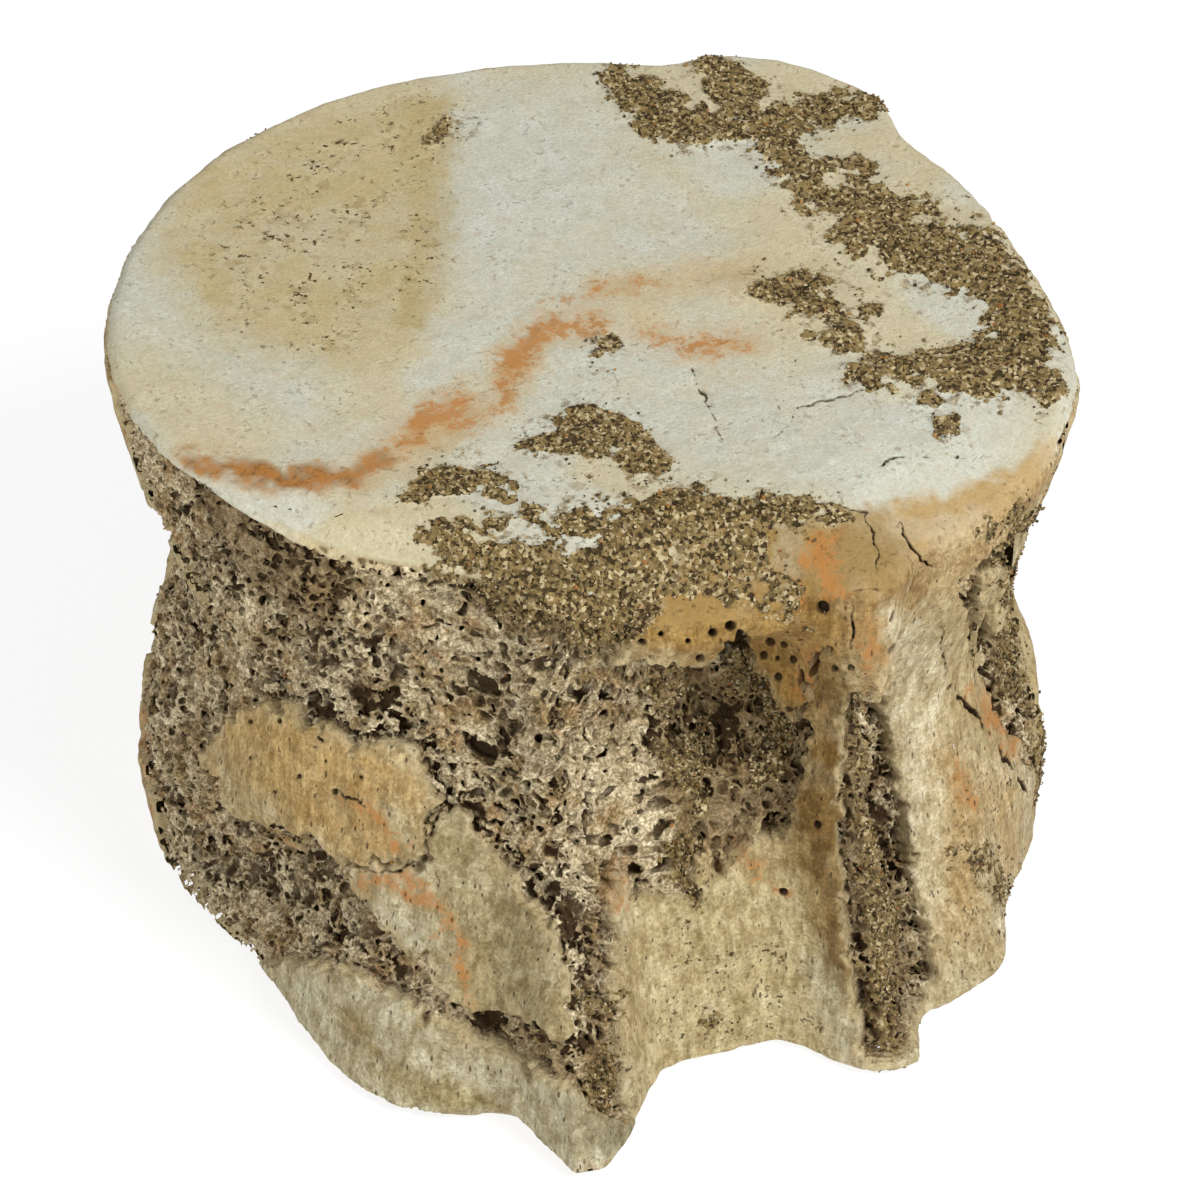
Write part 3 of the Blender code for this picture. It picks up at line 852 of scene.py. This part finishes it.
PALE_BONE = (203, 203, 187)
CREAM_BONE = (204, 195, 164)
SIDE_BONE = (186, 170, 132)
SIDE_BONE_PALE = (198, 188, 158)
OCHRE_BONE = (188, 164, 112)
IRON_STAIN = (172, 112, 54)
RUSTY_BONE = (184, 124, 62)
SPONGY_LIGHT = (214, 202, 171)
SPONGY_DARK = (150, 130, 90)
# Dark brown deep in the pores: dirt, with painted shade
PORE_DIRT_AND_SHADE = (72, 53, 30)
TORN_EDGE = (212, 194, 150)
GRIME_AND_SHADE_BROWN = (132, 110, 74)
GRIT_DARK = (60, 47, 24)
GRIT_MIDDLE = (142, 120, 76)
GRIT_LIGHT = (196, 179, 138)
DIRT = (132, 110, 62)
SPECK = (78, 62, 34)
CRACK_DARK = (70, 54, 34)


def linear(levels):
    """A colour from 0 to 255, as it is seen, turned into the renderer's linear values."""
    parts = np.array(levels, np.float32) / 255.0
    return np.where(parts <= 0.04045, parts / 12.92, ((parts + 0.055) / 1.055) ** 2.4)


def colour(levels):
    return (*linear(levels), 1.0)


class Shader:
    """A material and short ways to add nodes to it. Sizes are in millimetres."""

    def __init__(self, name, roughness):
        self.material = bpy.data.materials.new(name)
        self.material.use_nodes = True
        self.tree = self.material.node_tree
        self.tree.nodes.clear()
        self.surface = self.add("ShaderNodeBsdfPrincipled")
        self.surface.inputs["Roughness"].default_value = roughness
        self.surface.inputs["Specular IOR Level"].default_value = 0.25
        output = self.add("ShaderNodeOutputMaterial")
        self.tree.links.new(self.surface.outputs[0], output.inputs["Surface"])
        self.place = self.add("ShaderNodeTexCoord").outputs["Object"]

    def add(self, kind, **settings):
        node = self.tree.nodes.new(kind)
        for setting, value in settings.items():
            setattr(node, setting, value)
        return node

    def put(self, socket, value):
        """Links an output to the socket, or sets its value."""
        if isinstance(value, bpy.types.NodeSocket):
            self.tree.links.new(value, socket)
        else:
            socket.default_value = value

    def attribute(self, name):
        return self.add("ShaderNodeAttribute", attribute_name=name).outputs["Fac"]

    def math(self, operation, first, second=0.0):
        node = self.add("ShaderNodeMath", operation=operation)
        self.put(node.inputs[0], first)
        self.put(node.inputs[1], second)
        return node.outputs[0]

    def times(self, first, second):
        return self.math("MULTIPLY", first, second)

    def between(self, value, low, high, start=0.0, end=1.0):
        node = self.add("ShaderNodeMapRange", interpolation_type="SMOOTHSTEP")
        self.put(node.inputs["Value"], value)
        for socket, number in zip(("From Min", "From Max", "To Min", "To Max"), (low, high, start, end)):
            node.inputs[socket].default_value = number
        return node.outputs["Result"]

    def stretched(self, stretch):
        node = self.add("ShaderNodeVectorMath", operation="MULTIPLY")
        self.put(node.inputs[0], self.place)
        node.inputs[1].default_value = stretch
        return node.outputs[0]

    def noise(self, size, detail=3.0, rough=0.55, stretch=None, twist=0.0):
        node = self.add("ShaderNodeTexNoise")
        self.put(node.inputs["Vector"], self.stretched(stretch) if stretch else self.place)
        node.inputs["Scale"].default_value = 1.0 / (size * MM)
        node.inputs["Detail"].default_value = detail
        node.inputs["Roughness"].default_value = rough
        node.inputs["Distortion"].default_value = twist
        return node.outputs["Fac"]

    def cells(self, size, stretch=None):
        node = self.add("ShaderNodeTexVoronoi")
        self.put(node.inputs["Vector"], self.stretched(stretch) if stretch else self.place)
        node.inputs["Scale"].default_value = 1.0 / (size * MM)
        return node

    def blend(self, share, first, second, mode="MIX"):
        node = self.add("ShaderNodeMix", data_type="RGBA", blend_type=mode)
        self.put(node.inputs[0], share)
        self.put(node.inputs[6], first)
        self.put(node.inputs[7], second)
        return node.outputs[2]

    def bump(self, height, distance, strength=1.0, below=None):
        node = self.add("ShaderNodeBump")
        self.put(node.inputs["Height"], height)
        node.inputs["Distance"].default_value = distance * MM
        self.put(node.inputs["Strength"], strength)
        if below is not None:
            self.put(node.inputs["Normal"], below)
        return node.outputs[0]


def bone_material(name):
    shader = Shader(name, roughness=0.85)
    sand, dust = shader.attribute("sand"), shader.attribute("dust")
    spongy, depth = shader.attribute("spongy"), shader.attribute("depth")
    crack, up = shader.attribute("crack"), shader.attribute("up")

    middle = shader.noise(4.0, 4.0, 0.6)
    small = shader.noise(1.6, 5.0, 0.65)
    dots = shader.noise(0.75, 3.0, 0.55)
    fine = shader.noise(0.42, 4.0, 0.7)
    tiny = shader.between(fine, 0.3, 0.7)
    streaks = shader.between(shader.noise(1.0, 4.0, 0.65, stretch=(1.0, 1.0, 0.16)), 0.3, 0.7)

    def toned(below, mask, dark, light, on_side, on_top):
        """Multiplies by a dark or a light tone, with one strength on the side and one on top."""
        tone = shader.blend(mask, (*dark, 1.0), (*light, 1.0))
        tone = shader.blend(1.0, below, tone, "MULTIPLY")
        return shader.blend(shader.between(up, 0.0, 1.0, on_side, on_top), below, tone)

    # Smooth bone: the painted colour, mottled, with rust, specks of dirt and short dark grooves
    skin = shader.add("ShaderNodeAttribute", attribute_name="skin").outputs["Color"]
    skin = toned(skin, shader.between(middle, 0.4, 0.6), (0.84, 0.80, 0.72), (1.12, 1.13, 1.16), 0.8, 0.3)
    skin = toned(skin, shader.between(small, 0.44, 0.54), (0.78, 0.73, 0.62), (1.13, 1.14, 1.16), 0.7, 0.22)
    skin = toned(skin, tiny, (0.70, 0.65, 0.56), (1.26, 1.28, 1.30), 0.8, 0.35)
    skin = toned(skin, streaks, (0.62, 0.55, 0.43), (1.26, 1.27, 1.28), 0.75, 0.0)
    rusty = shader.math("ADD", shader.attribute("rust"), shader.between(small, 0.35, 0.65, -0.32, 0.32))
    rusty = shader.math("ADD", rusty, shader.between(fine, 0.3, 0.7, -0.24, 0.24))
    rusty = shader.between(rusty, 0.18, 0.95)
    skin = shader.blend(shader.times(rusty, 0.85), skin, colour(RUSTY_BONE))
    grooves = shader.cells(0.75, stretch=(1.0, 1.0, 0.24)).outputs["Distance"]
    groove = shader.between(grooves, 0.10, 0.24, 1.0, 0.0)
    groove = shader.times(groove, shader.between(small, 0.46, 0.58))
    groove = shader.times(groove, shader.between(up, 0.0, 1.0, 0.85, 0.0))
    skin = shader.blend(groove, skin, colour(SPECK))
    dirty = shader.times(shader.between(middle, 0.42, 0.58), shader.attribute("specks"))
    olive = shader.times(dirty, shader.between(small, 0.5, 0.56))
    skin = shader.blend(shader.times(olive, 0.45), skin, colour(DIRT))
    speck = shader.times(shader.between(dots, 0.59, 0.63), dirty)
    skin = shader.blend(speck, skin, colour(SPECK))

    # Broken, spongy bone: light walls, brown deeper in the pores, partly dirt and partly painted shade
    walls = shader.blend(shader.between(middle, 0.35, 0.65), colour(SPONGY_LIGHT), colour(SPONGY_DARK))
    walls = shader.blend(shader.between(small, 0.4, 0.7, 0.0, 0.7), walls, colour(SPONGY_LIGHT))
    walls = toned(walls, tiny, (0.62, 0.56, 0.46), (1.2, 1.2, 1.2), 1.0, 1.0)
    stained = shader.times(shader.between(middle, 0.5, 0.65), shader.between(small, 0.45, 0.55))
    stained = shader.math("MAXIMUM", shader.times(stained, 0.3), shader.times(rusty, 0.7))
    walls = shader.blend(stained, walls, colour(IRON_STAIN))
    # Brown over the walls: dirt, with painted shade in the canal's upper part
    grime_and_shade_share = shader.math("ADD", shader.attribute("grime_and_shade"), shader.between(small, 0.35, 0.65, -0.25, 0.25))
    walls = shader.blend(shader.between(grime_and_shade_share, 0.25, 0.75, 0.0, 0.75), walls, colour(GRIME_AND_SHADE_BROWN))
    walls = toned(walls, shader.between(fine, 0.4, 0.6), (0.80, 0.77, 0.72), (1.25, 1.25, 1.25), 1.0, 1.0)
    # Darker brown deeper in the pores: partly dirt, partly painted shade in the recesses
    walls = shader.blend(shader.between(depth, 0.06, 0.28), walls, colour(PORE_DIRT_AND_SHADE))
    torn = shader.times(shader.between(spongy, 0.02, 0.2), shader.between(spongy, 0.4, 0.6, 1.0, 0.0))
    skin = shader.blend(shader.times(torn, 0.4), skin, colour(TORN_EDGE))
    whole = shader.blend(shader.between(spongy, 0.35, 0.6), skin, walls)

    # Sand: grains of many tones
    grains = shader.cells(0.42)
    tone = shader.add("ShaderNodeSeparateColor")
    shader.put(tone.inputs[0], grains.outputs["Color"])
    grit = shader.blend(shader.between(tone.outputs[0], 0.15, 0.8), colour(GRIT_DARK), colour(GRIT_MIDDLE))
    grit = shader.blend(shader.between(tone.outputs[1], 0.7, 1.0), grit, colour(GRIT_LIGHT))
    crumbs = shader.math("ADD", sand, shader.between(fine, 0.3, 0.7, -0.3, 0.3))
    sandy = shader.between(crumbs, 0.35, 0.6)
    scattered = shader.times(shader.between(dust, 0.05, 0.5), shader.between(small, 0.52, 0.62))
    sandy = shader.math("MAXIMUM", sandy, shader.times(scattered, 0.7))
    whole = shader.blend(sandy, whole, grit)
    whole = shader.blend(shader.between(crack, 0.3, 0.7), whole, colour(CRACK_DARK))
    shader.put(shader.surface.inputs["Base Color"], whole)

    normal = shader.bump(streaks, 0.16, shader.between(up, 0.0, 1.0, 0.7, 0.1))
    normal = shader.bump(groove, -0.25, 1.0, normal)
    normal = shader.bump(tiny, 0.10, shader.between(up, 0.0, 1.0, 0.9, 0.5), normal)
    normal = shader.bump(grains.outputs["Distance"], 0.3, shader.times(sandy, -0.8), normal)
    shader.put(shader.surface.inputs["Normal"], normal)
    return shader.material


def grain_material(name):
    shader = Shader(name, roughness=0.7)
    tone, warm = shader.attribute("tone"), shader.attribute("warm")
    body = shader.blend(shader.between(tone, 0.0, 0.65), colour(GRIT_DARK), colour(GRIT_MIDDLE))
    body = shader.blend(shader.between(tone, 0.72, 1.0), body, colour(GRIT_LIGHT))
    body = shader.blend(shader.between(warm, 0.975, 0.985, 0.0, 0.7), body, colour(IRON_STAIN))
    shader.put(shader.surface.inputs["Base Color"], body)
    return shader.material


# Meshes


def new_mesh(name, points, faces, values, material, normals=None):
    """A mesh object from points in mm, faces with the same number of corners, and values at points."""
    mesh = bpy.data.meshes.new(name)
    count, corners = faces.shape
    mesh.vertices.add(len(points))
    mesh.vertices.foreach_set("co", (points * MM).astype(np.float32).ravel())
    mesh.loops.add(count * corners)
    mesh.loops.foreach_set("vertex_index", faces.astype(np.int32).ravel())
    mesh.polygons.add(count)
    mesh.polygons.foreach_set("loop_start", np.arange(0, count * corners, corners, dtype=np.int32))
    mesh.update(calc_edges=True)
    mesh.polygons.foreach_set("use_smooth", np.full(count, normals is not None))
    if normals is not None:
        mesh.normals_split_custom_set_from_vertices(normals)
    for title, value in values.items():
        if value.ndim == 1:
            layer = mesh.attributes.new(title, "FLOAT", "POINT")
            layer.data.foreach_set("value", value.astype(np.float32))
        else:
            layer = mesh.attributes.new(title, "FLOAT_COLOR", "POINT")
            solid = np.concatenate([value, np.ones((len(value), 1))], axis=1)
            layer.data.foreach_set("color", solid.astype(np.float32).ravel())
    mesh.materials.append(material)
    piece = bpy.data.objects.new(name, mesh)
    bpy.context.scene.collection.objects.link(piece)
    return piece


# The skin's pieces: which grid, which bearings and levels, and the solids that they stand for
Skin = namedtuple("Skin", "name fine slot replaces first last low high")
UPPER_CUT = 61.0
LOWER_CUT = 9.0
TOP = 1e3
SKINS = (
    Skin("upper_end_skin", False, "end_face", ("upper_articular_end",), -180, 181, UPPER_CUT, TOP),
    Skin("lower_end_skin", False, "cortical_bone", ("lower_articular_end",), -180, 181, -TOP, LOWER_CUT),
    Skin("side_skin", False, "cortical_bone", ("right_transverse_process",), -115, 115, LOWER_CUT, UPPER_CUT),
    Skin("hinder_left_skin", False, "cortical_bone", ("centrum",), -180, -115, LOWER_CUT, UPPER_CUT),
    Skin("hinder_right_skin", False, "cortical_bone", ("centrum",), 115, 181, LOWER_CUT, UPPER_CUT),
    Skin("left_flank_broken", True, "spongy_bone", ("left_transverse_process",), -180, -62, -TOP, TOP),
    Skin("left_root_broken", True, "spongy_bone", ("centrum",), -62, -30, -TOP, TOP),
    Skin("left_pedicel_broken", True, "spongy_bone", ("left_pedicel",), -30, 2, -TOP, TOP),
    Skin("right_pedicel_broken", True, "cortical_bone", ("right_pedicel",), 2, 181, -TOP, TOP),
)
OVERLAP = 0.1


def build_skins(fine, points, quads, near, normals, values, material):
    """The bone's skin in pieces that share their edges, from one of the two grids."""
    middle = points[quads].mean(axis=1)
    closely = near[quads].mean(axis=1)
    wanted = closely > 0.5 - 0.5 * OVERLAP if fine else closely < 0.5 + 0.5 * OVERLAP
    bearing = np.degrees(np.arctan2(middle[:, 0] - AXIS[0], AXIS[1] - middle[:, 1]))
    for skin in SKINS:
        if skin.fine != fine:
            continue
        picked = wanted & (bearing >= skin.first) & (bearing < skin.last)
        picked &= (middle[:, 2] >= skin.low) & (middle[:, 2] < skin.high)
        used, corners = np.unique(quads[picked], return_inverse=True)
        faces = corners.reshape(-1, 4)
        own = {title: value[used] for title, value in values.items()}
        piece = new_mesh(skin.name, points[used], faces, own, material, normals[used])
        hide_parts(*skin.replaces)
        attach(piece, "root")


def eight_faces():
    """Corners and faces of an eight-faced ball of radius 1."""
    corners = np.concatenate([np.eye(3), -np.eye(3)]).astype(np.float32)
    faces = []
    for x in (0, 3):
        for y in (1, 4):
            for z in (2, 5):
                flips = (x == 3) + (y == 4) + (z == 5)
                faces.append((x, y, z) if flips % 2 == 0 else (x, z, y))
    return corners, np.array(faces)


GRAINS = 24000
GRAINS_IN_PIECE = 12000
GRAIN_RADIUS = 0.185
GRAIN_SPREAD = 0.34


def build_grains(points, normals, face, weights, material):
    """Sand grains strewn over the crusts, some in the broken bone."""
    draw = np.random.default_rng(SEED + 90)
    chance = weights * (face.sand + 0.16 * ramp(face.dust, 0.02, 0.4) + 0.05 * face.spongy)
    picks = draw.choice(len(points), GRAINS, replace=False, p=chance / chance.sum())
    corners, faces = eight_faces()
    for part, start in enumerate(range(0, GRAINS, GRAINS_IN_PIECE)):
        chosen = picks[start : start + GRAINS_IN_PIECE]
        count = len(chosen)
        radius = GRAIN_RADIUS * np.exp(GRAIN_SPREAD * draw.standard_normal(count))
        radius = np.minimum(radius, 3.0 * GRAIN_RADIUS)
        shape = draw.uniform(0.6, 1.2, (count, 1, 3)) * draw.uniform(0.75, 1.2, (count, 6, 1))
        axes = draw.standard_normal((count, 3, 3))
        turns, _ = np.linalg.qr(axes)
        balls = np.einsum("nij,nkj->nki", turns, corners[None] * shape) * radius[:, None, None]
        centres = points[chosen] + normals[chosen] * (0.35 * radius[:, None])
        centres += draw.uniform(-0.15, 0.15, (count, 3))
        everything = (balls + centres[:, None, :]).reshape(-1, 3).astype(np.float32)
        everything[:, 2] = np.maximum(everything[:, 2], 0.0)
        all_faces = (faces[None] + 6 * np.arange(count)[:, None, None]).reshape(-1, 3)
        tone = np.repeat(draw.uniform(0, 1, count), 6)
        warm = np.repeat(draw.uniform(0, 1, count), 6)
        values = {"tone": tone, "warm": warm}
        piece = new_mesh(f"sand_grains_{part + 1}", everything, all_faces, values, material)
        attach(piece, "root")


# Camera, light and floor


def build_camera():
    data = bpy.data.cameras.new("camera")
    data.sensor_width = SENSOR
    data.lens = LENS
    data.clip_start = 0.01
    data.clip_end = 20.0
    camera = bpy.data.objects.new("camera", data)
    bpy.context.scene.collection.objects.link(camera)
    place = Vector(VIEW.place * MM)
    camera.location = place
    camera.rotation_euler = Vector(VIEW.back).to_track_quat("Z", "Y").to_euler()
    bpy.context.scene.camera = camera


def area_light(name, place, power, size):
    data = bpy.data.lights.new(name, "AREA")
    data.energy = power
    data.size = size
    light = bpy.data.objects.new(name, data)
    light.location = place
    light.rotation_euler = Vector(place).to_track_quat("Z", "Y").to_euler()
    bpy.context.scene.collection.objects.link(light)


def build_surroundings():
    scene = bpy.context.scene
    scene.view_settings.view_transform = "Standard"
    world = bpy.data.worlds.new("studio")
    world.use_nodes = True
    world.node_tree.nodes["Background"].inputs["Color"].default_value = (1.0, 1.0, 1.0, 1.0)
    world.node_tree.nodes["Background"].inputs["Strength"].default_value = 0.38
    scene.world = world
    area_light("key", (0.45, -0.6, 0.85), 9.0, 0.4)
    area_light("fill", (-0.75, -0.75, 0.62), 4.2, 0.3)
    floor_shader = Shader("floor", roughness=1.0)
    floor_shader.surface.inputs["Base Color"].default_value = (0.26, 0.26, 0.26, 1.0)
    floor_shader.surface.inputs["Emission Color"].default_value = (1.0, 1.0, 1.0, 1.0)
    floor_shader.surface.inputs["Emission Strength"].default_value = 0.81
    floor_shader.surface.inputs["Specular IOR Level"].default_value = 0.0
    bpy.ops.mesh.primitive_plane_add(size=6.0, location=(0.0, 0.0, 0.0))
    floor = bpy.context.object
    floor.name = "floor"
    floor.data.materials.append(floor_shader.material)


Grit = namedtuple("Grit", "sand dust spongy")


def build_bone():
    base = whole_grid()
    rough = Grid(base.voxel, base.low, base.distance.copy())
    index = base.near()
    face = carve(base, rough, index)
    near = np.zeros(base.distance.size, np.float32)
    near[index] = face.seen * looked_up(SEEN_CLOSELY, *face.plain)
    near = near.reshape(base.distance.shape)

    fine_base = Grid(0.5 * base.voxel, 2 * base.low, doubled(base.distance))
    fine_rough = Grid(fine_base.voxel, fine_base.low, doubled(rough.distance))
    fine_near = doubled(near)
    index = fine_base.near(fine_near > 0.3)
    carve(fine_base, fine_rough, index)

    bone = bone_material("bone")
    grit = grain_material("grit")
    spots = []
    for fine, start, grid, closely in ((False, base, rough, near), (True, fine_base, fine_rough, fine_near)):
        points, quads = grid.mesh()
        points, quads = largest_piece(points, quads)
        points[:, 2] = np.maximum(points[:, 2], 0.0)
        closely = closely.ravel()[start.index_at(points)]
        normals = vertex_normals(points, quads)
        wanted = closely > 0.4 if fine else closely < 0.6
        keep = wanted[quads].all(axis=1)
        number = np.cumsum(wanted) - 1
        quads = number[quads[keep]]
        points, normals, closely = points[wanted], normals[wanted], closely[wanted]
        distance, out = start.foot(points)
        face = Surface((points - out * distance[:, None]).astype(np.float32), out)
        depth = np.clip(-face.worn_distance(distance) / (5.0 + 3.0 * face.coarse), 0.0, 1.0)
        values = {
            "skin": face.skin_colour(),
            "sand": face.sand,
            "dust": face.dust,
            "up": face.up,
            "spongy": face.spongy,
            "depth": depth,
            "specks": np.maximum(0.35, face.seen * looked_up(SPECKLED, *face.ragged)),
            "crack": np.maximum(face.crack, np.maximum(face.foramen, face.hole)),
            "rust": face.rust,
            "grime_and_shade": face.grime_and_shade,
        }
        build_skins(fine, points, quads, closely, normals, values, bone)
        area_of_point = grid.voxel**2
        chosen = closely >= 0.5 if fine else closely < 0.5
        spots.append((points[chosen], normals[chosen], face.sand[chosen], face.dust[chosen],
                      face.spongy[chosen], np.full(chosen.sum(), area_of_point)))
    points, normals, sand, dust, spongy, weights = (np.concatenate(part) for part in zip(*spots))
    build_grains(points, normals, Grit(sand, dust, spongy), weights, grit)


build_bone()
build_camera()
build_surroundings()
